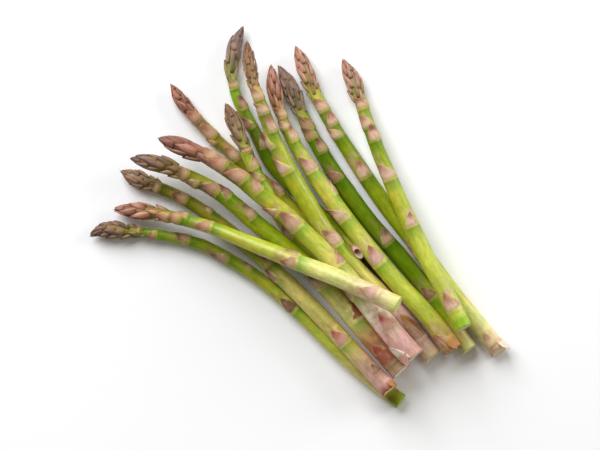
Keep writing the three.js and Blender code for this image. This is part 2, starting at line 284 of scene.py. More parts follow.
SAMPLE = 0.5 * MM  # spacing of the readings along an axis
CAD_SIDES = 12  # corners of each ring of a CAD spear
CAD_WELD = 0.001 * MM  # corners of a CAD solid closer than this are one
UNEVEN = 0.035  # share by which a stem's radius wanders
UNEVEN_LENGTH = 24 * MM  # distance over which it wanders
TORN_REACH = 2 * MM  # length over which a ragged cut has crumpled
SHOULDER_DROP = 1.5 * MM  # length over which a shoulder falls away behind its leaf
SHOULDER_SUNK = 0.35  # share of a shoulder that bare skin is drawn in, to keep the stem's size
STAIN_LENGTH = 5 * MM  # size of the brown stains round the leaves
STAIN_BEHIND, STAIN_AHEAD = -0.25, 1.9  # where a stain ends, in lengths of its leaf from the base
YOUNG_REACH = 45 * MM  # how far behind the head side buds still swell under the leaves
LEAF_WIDTH = 0.52  # half the width of a leaf's base, as a share of its length
YOUNG_WIDTH = 0.33  # what the widest young leaf has beyond that
BROAD_KINDS, BROAD_WIDTH = ("maroon", "dry"), 0.62  # old leaves that have spread, and their share
MOST_WRAP = 1.3  # most that half a leaf's width reaches round its stem, in radians
UNDERSIDE = math.radians(128)  # a leaf turned further than this from the top is out of sight
UNSEEN_MARGIN = 4 * MM  # bare length that unseen leaves leave at the neck and at the cut
UNSEEN_GAP, GAP_GROWTH = 9 * MM, 1.09  # their spacing at the neck, and its growth at each leaf
UNSEEN_LENGTH, UNSEEN_MOST = 5 * MM, 9 * MM  # their length at the neck, and the longest
ROOM, ROOM_TURN = 7 * MM, 1.6  # how far along or round the stem they keep from the others


class Leaf:
    """A scale leaf's place on its stem."""

    def __init__(self, spear, base, turn, length, tip_turn, kind="leaf"):
        self.base, self.turn, self.length, self.kind = base, turn, length, kind
        self.bend = wrapped(tip_turn - turn)
        self.young = 1 - smoothstep(spear.head, spear.head + YOUNG_REACH, base)
        wide = BROAD_WIDTH if kind in BROAD_KINDS else LEAF_WIDTH + YOUNG_WIDTH * self.young
        self.half_turn = min(wide * length / spear.radius(base), MOST_WRAP)


class Spear:
    """A spear's axis, thickness and leaves."""

    def __init__(self, number):
        self.number = number
        self.name = f"spear_{number:02d}"
        self.skin_tones, self.leaf_tones, self.bud_tones, self.head_build = LOOKS[number]
        self.random = random.Random(SEED + number)
        self.offset = Vector((self.random.uniform(0, 50), self.random.uniform(0, 50), 0))
        self.read_solid(frame["nodes"][self.name])
        self.find_head()
        self.leaves = []
        for base, turn, length, tip_turn, *kind in LEAVES[number]:
            turn, tip_turn = math.radians(turn), math.radians(tip_turn)
            self.leaves.append(Leaf(self, base * MM, turn, length * MM, tip_turn, *kind))
        self.add_unseen_leaves()

    def read_solid(self, node):
        """Ring by ring from the tip: the middle and radius of the CAD solid."""
        solid = bmesh.new()
        solid.from_mesh(node.data)
        bmesh.ops.remove_doubles(solid, verts=solid.verts, dist=CAD_WELD)
        poles = [v for v in solid.verts if len(v.link_edges) == CAD_SIDES]
        ring = {max(poles, key=lambda v: v.co.y)}
        seen = set()
        centres, radii = [], []
        while len(ring) in (1, CAD_SIDES) and len(ring - seen):
            seen |= ring
            centre = sum((v.co for v in ring), Vector()) / len(ring)
            reach = [(v.co - centre).length for v in ring]
            if len(ring) == CAD_SIDES or not centres:
                centres.append(centre)
                radii.append(min(reach))
                lean = (max(reach) / min(reach)) ** 2 - 1 if min(reach) else 0
            ring = {e.other_vert(v) for v in ring for e in v.link_edges} - seen
        self.lean = math.sqrt(max(lean, 0))
        solid.free()
        stops = [0.0]
        for a, b in zip(centres, centres[1:]):
            stops.append(stops[-1] + (b - a).length)
        self.length = stops[-1]
        count = int(self.length / SAMPLE) + 1
        self.step = self.length / count
        at = [self.step * i for i in range(count + 1)]
        self.centres = [hermite(stops, centres, s) for s in at]
        self.radii = [max(hermite(stops, radii, s), 0.0) for s in at]
        self.frames = []
        for i in range(count + 1):
            along = (self.centres[min(i + 2, count)] - self.centres[max(i - 2, 0)]).normalized()
            side = Vector((-along.y, along.x, 0)).normalized()
            self.frames.append((along, side, along.cross(side)))

    def find_head(self):
        """The head ends at the first narrowing behind its widest place."""
        i = 1
        while self.radii[i + 1] > self.radii[i]:
            i += 1
        while self.radii[i + 1] < self.radii[i]:
            i += 1
        self.head = i * self.step

    def between(self, distance):
        """The reading before a distance from the tip, and the share of the way to the next."""
        i, share = divmod(min(max(distance / self.step, 0), len(self.radii) - 1.001), 1)
        return int(i), share

    def radius(self, distance):
        i, share = self.between(distance)
        return self.radii[i] + (self.radii[i + 1] - self.radii[i]) * share

    def point(self, distance, turn, out, back=0.0):
        """A point at a distance from the tip, out from the axis at a turn, and back along it."""
        i, share = self.between(distance)
        centre = self.centres[i].lerp(self.centres[i + 1], share)
        along, side, up = self.frames[i]
        beyond = distance - min(max(distance, 0), self.length)
        outward = up * math.cos(turn) + side * math.sin(turn)
        return centre + outward * out + along * (back + beyond)

    def add_unseen_leaves(self):
        """Leaves on the underside, on the same rising spiral and spacing as the ones that show."""
        base = self.head + UNSEEN_MARGIN
        gap = UNSEEN_GAP
        turn = self.random.uniform(0, 2 * math.pi)
        shown = list(self.leaves)
        while base < self.length - UNSEEN_MARGIN:
            under = abs(wrapped(turn)) > UNDERSIDE
            clear = all(abs(base - leaf.base) > ROOM or abs(wrapped(turn - leaf.turn)) > ROOM_TURN
                        for leaf in shown)
            if under and clear:
                reach = min(UNSEEN_LENGTH + gap * 0.2, UNSEEN_MOST)
                tip_turn = turn + self.random.uniform(-0.3, 0.3)
                self.leaves.append(Leaf(self, base, turn, reach, tip_turn))
            base += gap / 2
            gap *= GAP_GROWTH
            turn += GOLDEN_TURN

    def wander(self, turn, height, scale=1.0):
        """Noise at a place on a circle of radius one, so that it closes round the stem."""
        return noise.noise(Vector((math.cos(turn), math.sin(turn), height)) * scale + self.offset)

    def shoulder(self, distance, turn):
        """Swelling under the leaves: it rises toward each leaf's base and drops away behind it."""
        most = 0.0
        for leaf in self.leaves:
            before = leaf.base - distance
            if not -SHOULDER_DROP < before < leaf.length:
                continue
            young = 0.9 + 1.4 * leaf.young
            across = wrapped(turn - leaf.turn) / (leaf.half_turn * 1.15)
            if abs(across) >= 1:
                continue
            rise = smoothstep(-SHOULDER_DROP, 0.4 * MM, before) * (1 - max(before, 0) / leaf.length)
            most = max(most, young * rise * (1 - across * across) ** 0.7)
        return most

    def torn(self, distance, turn):
        """How far a ragged cut has torn back along the stem."""
        ragged = RAGGED.get(self.number, CLEAN_CUT) * MM
        ragged *= smoothstep(self.length - TORN_REACH, self.length, distance)
        if not ragged:
            return 0.0
        jag, chip = self.wander(turn, 0, 1.6), self.wander(turn, 2, 5)
        return ragged * max(jag + 0.5 * chip + 0.2, 0)

    def skin(self, distance, turn):
        """Distance from the axis to the skin."""
        radius = self.radius(distance) * (1 + UNEVEN * self.wander(turn, distance / UNEVEN_LENGTH))
        return radius + sizes().shoulder * (self.shoulder(distance, turn) - SHOULDER_SUNK)

    def marks(self, distance, turn):
        """How much of a leaf's collar line, and of the greener band with painted leaf shadow behind
        it, shows at a place.
        """
        collar = fresher_green_and_leaf_shadow = 0.0
        for leaf in self.leaves:
            behind = distance - leaf.base
            if not -2 * MM < behind < 14 * MM:
                continue
            across = abs(wrapped(turn - leaf.turn)) / (leaf.half_turn * 1.25)
            side = 1 - smoothstep(0.8, 1.15, across)
            bow = behind + 0.12 * leaf.length * min(across, 1) ** 2
            line = 0.3 * (1 - smoothstep(0.2 * MM, 0.9 * MM, abs(bow)))
            collar = max(collar, side * line)
            # Just behind each base the skin is greener and darkened: painted shadow of the leaf's
            # raised base edge.
            green = smoothstep(0.4 * MM, 1.2 * MM, bow) * (1 - smoothstep(1.6 * MM, 10 * MM, bow))
            fresher_green_and_leaf_shadow = max(fresher_green_and_leaf_shadow, side * green)
        return collar, fresher_green_and_leaf_shadow * (1 - 0.8 * smoothstep(0.8, 0.93, distance / self.length))

    def stain(self, distance, turn):
        """How much the brown of a leaf has spread into the skin round it."""
        most = 0.0
        for leaf in self.leaves:
            ahead = (leaf.base - distance) / leaf.length
            if not STAIN_BEHIND < ahead < STAIN_AHEAD:
                continue
            across = abs(wrapped(turn - leaf.turn - leaf.bend * max(ahead, 0))) / leaf.half_turn
            spread = (1 - smoothstep(0.5, 1.5, across)) * (1 - smoothstep(0.9, STAIN_AHEAD, ahead))
            spread *= smoothstep(STAIN_BEHIND, 0.15, ahead)
            most = max(most, spread * (1 - 0.6 * leaf.young))
        return most * smoothstep(-0.35, 0.35, self.wander(turn, distance / STAIN_LENGTH, 1.5))

    def skin_colour(self, distance):
        """Colour of the skin at a distance from the tip, from the spear's look."""
        stops = list(self.skin_tones.items())
        share = max(distance - self.head, 0) / (self.length - self.head)
        for (low, a), (high, b) in zip(stops, stops[1:]):
            if share <= high:
                return mix(palette(a), palette(b), smoothstep(low, high, share))
        return palette(stops[-1][1])


SPEARS = []


def spears():
    """Every spear, read once."""
    if not SPEARS:
        SPEARS.extend(Spear(number) for number in LOOKS)
    return SPEARS


# ---------------------------------------------------------------- meshes

def frame_slot(node):
    """The record's slot of a CAD node."""
    for material in frame["record"]["materials"]:
        if node in material.get("nodes", []):
            return material["slot"]
    return frame["nodes"][node].data.materials[0].name.split(".")[0]


def finish_piece(mesh, name, materials, replaced, slot):
    """Make the object of a finished mesh, give it its materials, hang it on the body, and hide the
    CAD parts it replaces.
    """
    for vert in mesh.verts:
        vert.co.z = max(vert.co.z, 0.0)
    data = bpy.data.meshes.new(name)
    mesh.to_mesh(data)
    mesh.free()
    data.shade_smooth()
    piece = bpy.data.objects.new(name, data)
    bpy.context.scene.collection.objects.link(piece)
    for material in materials:
        data.materials.append(material)
    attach(piece, BODY)
    if replaced:
        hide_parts(*replaced)


class Sheet:
    """A mesh that is made of grids, whose corners carry marks: two colours and two vectors.

    tone and rim are the colours of its body and of its edge. grain is the place on the surface
    laid flat, in metres, for patterns that follow it. zone says where on its piece it is.
    """

    def __init__(self):
        self.mesh = bmesh.new()
        layers = self.mesh.verts.layers
        self.marks = [layers.float_color.new(name) for name in ("tone", "rim")]
        self.marks += [layers.float_vector.new(name) for name in ("grain", "zone")]

    def lay(self, columns, rows, place):
        """Add a grid. place(u, v), with both from 0 to 1, gives a corner's point and marks."""
        made = bmesh.ops.create_grid(self.mesh, x_segments=columns, y_segments=rows, size=1)
        for vert in made["verts"]:
            vert.co, *values = place((vert.co.x + 1) / 2, (vert.co.y + 1) / 2)
            for mark, value in zip(self.marks, values):
                vert[mark] = value


TIP_REACH = 0.9 * MM  # how far the closed point of the bud passes the tip of the axis
TIP_BASE = 2.2 * MM  # where the point begins, from the tip
STEM_WELD = 0.002 * MM  # corners closer than this at a stem's seam and poles become one
STEM_IN_HEAD = 0.78  # share of its thickness that a stem keeps under the bud scales
SHEAR_REACH = 12 * MM  # length over which the rings lean into the cut
CUT_GRAIN = 0.12 * MM  # roughness of the cut face
SPRING_REACH = 15 * MM  # length over which a hollow end has sprung up between its neighbours
SPRING_RISE = 12.5 * MM  # how far up it has sprung at the cut
SPRING_THIN = 0.32  # share of its thickness that it has lost there
SPRING_LEAN = 1.5  # slant of its opening, which turns it up into sight

# A cut end from its rim to the middle: share of the radius, and depth into the stem in mm.
HOLLOW_CUT = ((1, 0), (0.97, -0.3), (0.86, -0.2), (0.78, 0.3), (0.72, 1.5), (0.66, 4), (0.5, 6.5),
              (0.25, 7.5), (0, 7.8))
FILLED_CUT = ((1, 0.15), (0.975, -0.12), (0.93, -0.22), (0.84, -0.2), (0.7, -0.05), (0.52, 0.05),
              (0.34, 0.08), (0.16, 0.05), (0, 0))


def stem_piece(spear, materials):
    """The stem: a tube from the tip to the cut, its leaf shoulders, and the cut face."""
    step = sizes().stem_step
    count = int(spear.length / step)
    rows = [((spear.length + TIP_REACH) * (i / count) - TIP_REACH, 1, 0, 0) for i in range(count)]
    hollow = spear.number == HOLLOW
    rows += [(spear.length, share, depth * MM, share < 1)
             for share, depth in (HOLLOW_CUT if hollow else FILLED_CUT)]
    last = len(rows) - 1
    sheet = Sheet()
    face_tone = palette(FLESH.get(spear.number, "flesh"))
    # Painted shade: under the bud scales the stem is darkened toward dark brown, as the gaps
    # between them lie in shade.
    painted_gap_shade = mix(palette("core"), palette(spear.bud_tones[1]), 0.45)
    closed = mix(palette("core"), palette(spear.bud_tones[0]), 0.6)
    stained = mix(*(palette(name) for name in spear.leaf_tones), 0.35)

    def place(u, v):
        turn = (2 * u - 1) * math.pi
        distance, share, depth, flesh = rows[round(v * last)]
        clear_of_head = smoothstep(0.75 * spear.head, 1.1 * spear.head, distance)
        under_head = STEM_IN_HEAD + (1 - STEM_IN_HEAD) * clear_of_head
        point = min((distance + TIP_REACH) / (TIP_BASE + TIP_REACH), 1)
        sprung = max(1 - (spear.length - distance) / SPRING_REACH, 0) ** 2 * hollow
        out = spear.skin(max(distance, TIP_BASE), turn) * share * under_head * point
        out *= 1 - SPRING_THIN * sprung
        lean = max(spear.lean, SPRING_LEAN * sprung)
        lean *= smoothstep(spear.length - SHEAR_REACH, spear.length, distance)
        rough = CUT_GRAIN * flesh * spear.wander(turn, 0, share * 4)
        torn = spear.torn(distance, turn) * smoothstep(0.5, 1, share)
        back = -lean * out * math.cos(turn) - depth + rough - torn
        collar, fresher_green_and_leaf_shadow = spear.marks(distance, turn)
        tone = mix(spear.skin_colour(distance), stained, 0.6 * spear.stain(distance, turn))
        # Under the head the skin fades into that painted shade, less so toward the neck; the closed
        # point takes the bud's dark tip colour.
        head = 1 - smoothstep(0.6 * spear.head, 1.15 * spear.head, distance)
        if head:
            bare = 0.7 * smoothstep(0.3 * spear.head, 0.95 * spear.head, distance)
            tone = mix(mix(tone, mix(painted_gap_shade, tone, bare), head), closed, 1 - point)
        # Painted shade: the cut flesh darkens to rose brown with depth, deepest in the hollow end.
        flesh_and_hollow_shade = mix(face_tone, palette("rose_brown"), smoothstep(0, 3 * MM, depth))
        grain = (out * math.cos(turn), out * math.sin(turn), distance)
        zone = (collar * (1 - flesh), fresher_green_and_leaf_shadow, share if flesh else 2)
        spot = spear.point(distance, turn, out, back) + Vector((0, 0, SPRING_RISE * sprung))
        return spot, tone, flesh_and_hollow_shade, grain, zone

    sheet.lay(sizes().stem_sides, last, place)
    mesh = sheet.mesh
    bmesh.ops.remove_doubles(mesh, verts=mesh.verts, dist=STEM_WELD)
    bmesh.ops.recalc_face_normals(mesh, faces=mesh.faces)
    for face in mesh.faces:
        face.material_index = int(all(v[sheet.marks[-1]].z <= 1 for v in face.verts))
    finish_piece(mesh, spear.name + "_stem", materials, [spear.name], frame_slot(spear.name))


LEAF_COLUMNS, LEAF_ROWS = 8, 9
SLIVER = 0.06 * MM  # corners closer than this at a leaf's point become one
LEAF_STAND = 0.12 * MM  # how far a leaf stands off the skin
LEAF_SINK = 0.35 * MM  # how far the line of its base is sunk from there
LEAF_CRUMPLE = 0.1 * MM  # how far its papery skin waves


def lay_leaf(sheet, spear, leaf):
    """A scale leaf: a pointed, slightly hollow triangle that hugs the stem and frees its point."""
    rand = spear.random
    tint = rand.random()
    free = rand.uniform(0.1, 0.9) * MM
    ripple = rand.uniform(0, 9)
    plain = leaf.kind == "leaf"
    fade = rand.uniform(0, 0.5) if plain else 0.1
    bordered = rand.uniform(0.1, 0.65)
    body, tip = (palette(name) for name in LEAF_KINDS.get(leaf.kind, spear.leaf_tones))
    body = mix(mix(body, palette("cream"), fade), palette("khaki"), 0.28 * leaf.young * plain)

    def place(u, v):
        across = 2 * u - 1
        narrow = 1 - v ** (1.35 + 0.8 * leaf.young)
        edge = 0.14 * noise.noise(Vector((across * 3, v * 5, ripple)))
        half = leaf.half_turn * max(narrow + edge * (1 - v), 0.015)
        bow = (0.13 - 0.08 * leaf.young) * across ** 2
        bow += 0.05 * noise.noise(Vector((across * 4, ripple, 9)))
        distance = leaf.base - v * leaf.length - bow * leaf.length * (1 - v)
        turn = leaf.turn + leaf.bend * v ** 1.2 + across * half
        crown = (1 - across * across) * math.sin(math.pi * min(v * 0.9 + 0.1, 1)) ** 0.6
        papery = LEAF_CRUMPLE * noise.noise(Vector((across * 2.5, v * 4, ripple + 20)))
        lift = LEAF_STAND + sizes().leaf_lift * crown + papery + free * smoothstep(0.55, 1, v)
        lift = lift * smoothstep(0, 0.2, v) - LEAF_SINK * (1 - smoothstep(0, 0.1, v))
        out = spear.skin(distance, turn) + lift
        skin = spear.skin_colour(distance)
        patch = 0.25 * noise.noise(Vector((across * 2, v * 3, ripple + 40)))
        dark = max(smoothstep(0.3, 0.85, v + patch),
                   bordered * smoothstep(0.35, 0.9, abs(across) + patch) * smoothstep(0, 0.3, v))
        tone = mix(body, tip, dark)
        foot, margin = mix(skin, palette("collar"), 0.5), mix(skin, palette("margin"), 0.45)
        rim = mix(foot, margin, smoothstep(0, 0.25, v))
        grain = (across * half * out, distance, tint * 10)
        zone = (abs(across), v, leaf.kind == "dry")
        return spear.point(distance, turn, out), tone, rim, grain, zone

    sheet.lay(LEAF_COLUMNS, LEAF_ROWS, place)


STRIP_HOLD = 0.5 * MM  # a strip past the cut keeps the thickness of the stem this far before it
STRIP_STAND = 0.15 * MM  # how far it stands off the skin


def lay_strip(sheet, spear, start, turn, length, wide, flare, tone):
    """A strip of skin that tore near the cut and curls off the stem."""
    ripple = spear.random.uniform(0, 9)
    half = wide / spear.radius(start)

    def place(u, v):
        across = 2 * u - 1
        distance = start + v * length
        edge = 0.15 * noise.noise(Vector((across * 2, v * 3, ripple)))
        turned = turn + across * half * max(1 - v ** 2.2 + edge, 0.03)
        curl = flare * v * v * (1 + noise.noise(Vector((across * 2, v * 2, ripple + 5))))
        out = spear.skin(min(distance, spear.length - STRIP_HOLD), turned)
        out += STRIP_STAND * min(v * 8, 1) + curl
        # Spear 8's strip takes the dark brown of painted shade.
        dried = mix(spear.skin_colour(distance), tone, smoothstep(0, 0.25, v))
        grain = (across * half * out, distance, ripple)
        return spear.point(distance, turned, out), dried, dried, grain, (abs(across), 1, 0)

    sheet.lay(LEAF_COLUMNS, LEAF_ROWS, place)


def finish_scales(mesh, name, material, replaced, thickness):
    """Turn flat scales into thin solids, and make them a piece."""
    bmesh.ops.remove_doubles(mesh, verts=mesh.verts, dist=SLIVER)
    bmesh.ops.solidify(mesh, geom=mesh.faces[:], thickness=thickness)
    finish_piece(mesh, name, [material], replaced, "scale_leaf")


def leaves_piece(spear, material):
    """All the scale leaves of a spear, and its torn strips."""
    sheet = Sheet()
    for leaf in spear.leaves:
        lay_leaf(sheet, spear, leaf)
    for start, turn, length, wide, flare, tone in STRIPS.get(spear.number, ()):
        lay_strip(sheet, spear, start * MM, math.radians(turn), length * MM, wide * MM, flare * MM,
                  palette(tone))
    nodes = [node for node in frame["nodes"] if node.startswith(spear.name + "_scale_")]
    finish_scales(sheet.mesh, spear.name + "_leaves", material, nodes, sizes().leaf_thickness)


BUD_COLUMNS, BUD_ROWS = 4, 6
BUD_CORE = 0.25 * MM  # least radius that the scales close on, at the tip
BUD_STAND = 0.1 * MM  # how far a scale stands off what it lies on


def lay_bud_scale(sheet, spear, number, count):
    """A bud scale: a pointed, keeled blade that closes over the ones in front of it."""
    _, longest, stand, wide = spear.head_build
    rand = spear.random
    order = number / (count - 1)
    base = spear.head * (0.14 + 0.92 * order ** 1.05 + rand.uniform(-0.02, 0.02))
    reach = longest * MM * (0.55 + 0.45 * math.sin(math.pi * (0.15 + 0.75 * order)))
    reach *= rand.uniform(0.8, 1.15)
    reach = min(base - rand.uniform(0.1, 0.6) * MM, reach)
    turn = number * GOLDEN_TURN + spear.offset.x + rand.uniform(-0.3, 0.3)
    lean = rand.uniform(-0.25, 0.25)
    half = wide * rand.uniform(0.8, 1.2)
    keel = stand * MM * rand.uniform(0.7, 1.1) * (0.4 + 0.6 * order)
    free = stand * MM * rand.uniform(0.1, 1.1) * (0.3 + 0.7 * order)
    tint = rand.random()
    tip_tone, base_tone = (palette(name) for name in spear.bud_tones)
    tip_tone = mix(tip_tone, mix(base_tone, palette("tan"), 0.5), 0.6 * tint * order)
    base_tone = mix(base_tone, spear.skin_colour(0), 0.65 * order * order)
    rim = mix(tip_tone, palette("cream"), rand.uniform(0.15, 0.5))
    shade = rand.uniform(0.75, 1.4)
    tip_tone, base_tone = ([shade * c for c in tone] for tone in (tip_tone, base_tone))

    def place(u, v):
        across = 2 * u - 1
        distance = base - v * reach
        bare = max(spear.radius(distance) * 0.9 - 0.5 * keel, BUD_CORE)
        turned = half * max(1 - v ** (1.5 + 0.6 * stand), 0.02)
        crown = keel * (1 - across * across) * math.sin(math.pi * min(0.15 + v * 0.7, 1))
        out = bare + BUD_STAND + crown + free * v * v * (1 - 0.5 * across * across)
        tone = mix(base_tone, tip_tone, smoothstep(0, 0.3 + 0.6 * order, v))
        grain = (across * half * 5 * MM, distance, tint * 10)
        return (spear.point(distance, turn + lean * v + across * turned, out), tone, rim, grain,
                (abs(across), v, order))

    sheet.lay(BUD_COLUMNS, BUD_ROWS, place)


def head_piece(spear, material):
    """The head: bud scales on a tight spiral from the tip back to the neck."""
    sheet = Sheet()
    count = spear.head_build[0]
    for number in range(count):
        lay_bud_scale(sheet, spear, number, count)
    finish_scales(sheet.mesh, spear.name + "_head", material, [], sizes().bud_thickness)


# ---------------------------------------------------------------- materials

MIX_FACTOR, MIX_A, MIX_B, MIX_RESULT = 0, 6, 7, 2  # colour sockets of a Mix node
LEAF_APART = 1000  # mm along the third axis of a leaf's grain, which only sets leaf apart from leaf


def add_node(tree, kind, inputs=(), **settings):
    """Add a node. Its inputs, in order or by name, are values, sockets or nodes' first outputs."""
    made = tree.nodes.new(kind)
    for key, value in settings.items():
        setattr(made, key, value)
    for key, value in inputs.items() if isinstance(inputs, dict) else enumerate(inputs):
        if isinstance(value, bpy.types.Node):
            value = value.outputs[0]
        if isinstance(value, bpy.types.NodeSocket):
            tree.links.new(value, made.inputs[key])
        else:
            made.inputs[key].default_value = value
    return made


def new_material(name, **shader):
    """A material with its Principled shader, set for a finish that is the same all over."""
    material = bpy.data.materials.new(name)
    material.use_nodes = True
    tree = material.node_tree
    principled = tree.nodes["Principled BSDF"]
    for key, value in shader.items():
        principled.inputs[key.replace("_", " ")].default_value = value
    return material, tree, principled


def sheet_marks(tree):
    """What the corners of a sheet carry: grain, tone, rim, and the three parts of zone."""
    grain, tone, rim, zone = (add_node(tree, "ShaderNodeAttribute", attribute_name=name)
                              for name in ("grain", "tone", "rim", "zone"))
    parts = add_node(tree, "ShaderNodeSeparateXYZ", (zone.outputs["Vector"],))
    return grain.outputs["Vector"], tone.outputs["Color"], rim.outputs["Color"], *parts.outputs


def real_patterns(tree, vector, *rows):
    """Cloudy patterns on a vector in metres. Each row gives the real size of the patches along each
    axis in mm, how many finer clouds lie on the first, and how strong those are."""
    for *size, detail, strength in rows:
        placed = add_node(tree, "ShaderNodeMapping",
                          {"Vector": vector, "Scale": [1 / (s * MM) for s in size]})
        yield add_node(tree, "ShaderNodeTexNoise",
                       {"Vector": placed, "Scale": 1.0, "Detail": detail, "Roughness": strength})


def lay_coats(tree, base, *coats, smooth=False):
    """Lay coats over a colour. Each is a pattern, the readings where it starts and where it is
    full, how much then shows, and the coat: three numbers are gains that multiply red, green and
    blue, and anything else is a colour that covers. Two more may say how much shows at the start,
    and what share of that is let through."""
    for pattern, start, full, most, coat, *more in coats:
        least, share = more or (0, None)
        gain = isinstance(coat, tuple) and len(coat) == 3
        amount = add_node(tree, "ShaderNodeMapRange", (pattern, start, full, least, most),
                          interpolation_type="SMOOTHSTEP" if smooth else "LINEAR")
        if share is not None:
            amount = add_node(tree, "ShaderNodeMath", (amount, share), operation="MULTIPLY")
        mixed = add_node(tree, "ShaderNodeMix",
                         {MIX_FACTOR: amount, MIX_A: base, MIX_B: (*coat, 1) if gain else coat},
                         data_type="RGBA", blend_type="MULTIPLY" if gain else "MIX")
        base = mixed.outputs[MIX_RESULT]
    return base


def finish_surface(tree, shader, base, relief, strength, depth, gloss=None):
    """Link a surface's colour and relief, and its roughness where a pattern sets it: the pattern,
    two of its readings, and the roughness at each."""
    tree.links.new(base, shader.inputs["Base Color"])
    bump = add_node(tree, "ShaderNodeBump",
                    {"Height": relief, "Strength": strength, "Distance": depth * MM})
    tree.links.new(bump.outputs["Normal"], shader.inputs["Normal"])
    if gloss:
        rough = add_node(tree, "ShaderNodeMapRange", gloss)
        tree.links.new(rough.outputs["Result"], shader.inputs["Roughness"])


def stem_skin():
    """Living stem skin: satin and slightly see-through, with fine grooves along the stem."""
    material, tree, shader = new_material(
        "asparagus_stem_skin", IOR=1.45, Specular_IOR_Level=0.95, Subsurface_Weight=0.15,
        Subsurface_Scale=1.6 * MM, Subsurface_Radius=(0.9, 1.0, 0.35))
    grain, tone, _, collar, fresher_green_and_leaf_shadow, _ = sheet_marks(tree)
    streak, mottle, patch, warm, groove = real_patterns(
        tree, grain,
        (1, 1, 26, 3, 0.6),  # vascular bundles show through the skin about a millimetre apart
        (2.2, 2.2, 4.5, 3, 0.6),
        (7, 7, 15, 2, 0.55),
        (11, 11, 32, 2, 0.5),
        (0.45, 0.45, 7, 2, 0.6))  # real grooves, 0.15 mm apart, are too fine to show; drawn coarser
    base = lay_coats(
        tree, tone,
        (streak, 0.42, 0.75, 0.55, (0.66, 0.7, 0.45)),
        (mottle, 0.5, 0.64, 0.6, (0.72, 0.78, 0.45)),
        (mottle, 0.48, 0.34, 0.6, (1.25, 1.18, 1.15)),
        (patch, 0.48, 0.66, 0.8, (1.35, 1.22, 1.4)),
        (warm, 0.5, 0.66, 0.75, (1.15, 0.8, 0.95)),
        # painted shadow behind each leaf base, in a darker and greener band
        (fresher_green_and_leaf_shadow, 0, 1, 0.85, (0.48, 0.7, 0.18)),
        (mottle, 0.35, 0.6, 0.85, palette("collar"), 0.25, collar))
    # the wax bloom is thick on the blanched ends and thin on the dark green ones
    red = add_node(tree, "ShaderNodeSeparateColor", (tone,))
    bloom = lay_coats(tree, tone, (red, 0.15, 0.5, 1, (*linear("#ffffff"), 1), 0.1, None))
    tree.links.new(bloom, shader.inputs["Specular Tint"])
    finish_surface(tree, shader, base, groove, 0.35, 0.12, (patch, 0.35, 0.65, 0.38, 0.52))
    return material


def cut_flesh():
    """Cut flesh: wet, pale and fibrous, with darker strands and a greener rim."""
    material, tree, shader = new_material(
        "asparagus_cut_flesh", IOR=1.38, Roughness=0.42, Subsurface_Weight=0.3,
        Subsurface_Scale=1.5 * MM, Subsurface_Radius=(1.0, 1.0, 0.5))
    grain, tone, rim, _, _, outward = sheet_marks(tree)
    # the strands run along the stem, about 1.3 mm apart
    placed = add_node(tree, "ShaderNodeMapping",
                      {"Vector": grain, "Scale": (1 / (1.3 * MM), 1 / (1.3 * MM), 0)})
    strands = add_node(tree, "ShaderNodeTexVoronoi", {"Vector": placed, "Scale": 1.0})
    dots = add_node(tree, "ShaderNodeMapRange", (strands, 0.18, 0.34, 1, 0))
    # rim carries the cut flesh colour, with the painted shade of the hollow end
    base = lay_coats(tree, rim, (outward, 0.72, 0.98, 1, tone),
                     (dots, 0, 1, 0.7, palette("strand")))
    finish_surface(tree, shader, base, dots, 0.4, 0.15)
    return material


def scale_leaf():
    """Scale leaf: thin and papery, flushed in the middle, with a pale dry margin and fine veins."""
    material, tree, shader = new_material(
        "asparagus_scale_leaf", IOR=1.45, Specular_IOR_Level=0.3, Subsurface_Weight=0.1,
        Subsurface_Scale=0.8 * MM, Specular_Tint=(*linear("#fff3da"), 1))
    grain, tone, rim, across, along, dry = sheet_marks(tree)
    veins, blotch, speck, rib = real_patterns(
        tree, grain,
        (0.5, 7, LEAF_APART, 3, 0.6),  # coarser than the real veins, 0.2 mm apart, too fine to show
        (2.6, 4, LEAF_APART, 2, 0.5),
        (1.1, 1.6, LEAF_APART, 2, 0.6),
        (0.9, 16, LEAF_APART, 1, 0.5))
    base = lay_coats(
        tree, tone,
        (veins, 0.4, 0.75, 0.6, (0.62, 0.5, 0.5)),
        (speck, 0.55, 0.75, 0.5, (0.6, 0.48, 0.45)),
        (blotch, 0.45, 0.75, 0.6, palette("rose_tan")),
        (rib, 0.5, 0.6, 1, (0.6, 0.46, 0.36), 0, dry))
    # the pale margin wanders with the blotches, and thins out toward the point
    wander = add_node(tree, "ShaderNodeMapRange", (blotch, 0.3, 0.7, -0.25, 0.25))
    outward = add_node(tree, "ShaderNodeMath", (across, wander), operation="ADD")
    thinned = add_node(tree, "ShaderNodeMapRange", (along, 0.45, 0.9, 1, 0.15))
    base = lay_coats(tree, base, (outward, 0.6, 1.08, 0.9, rim, 0, thinned),
                     (along, 0.2, 0, 0.9, rim), smooth=True)
    finish_surface(tree, shader, base, veins, 0.4, 0.12, (veins, 0.3, 0.7, 0.45, 0.62))
    return material


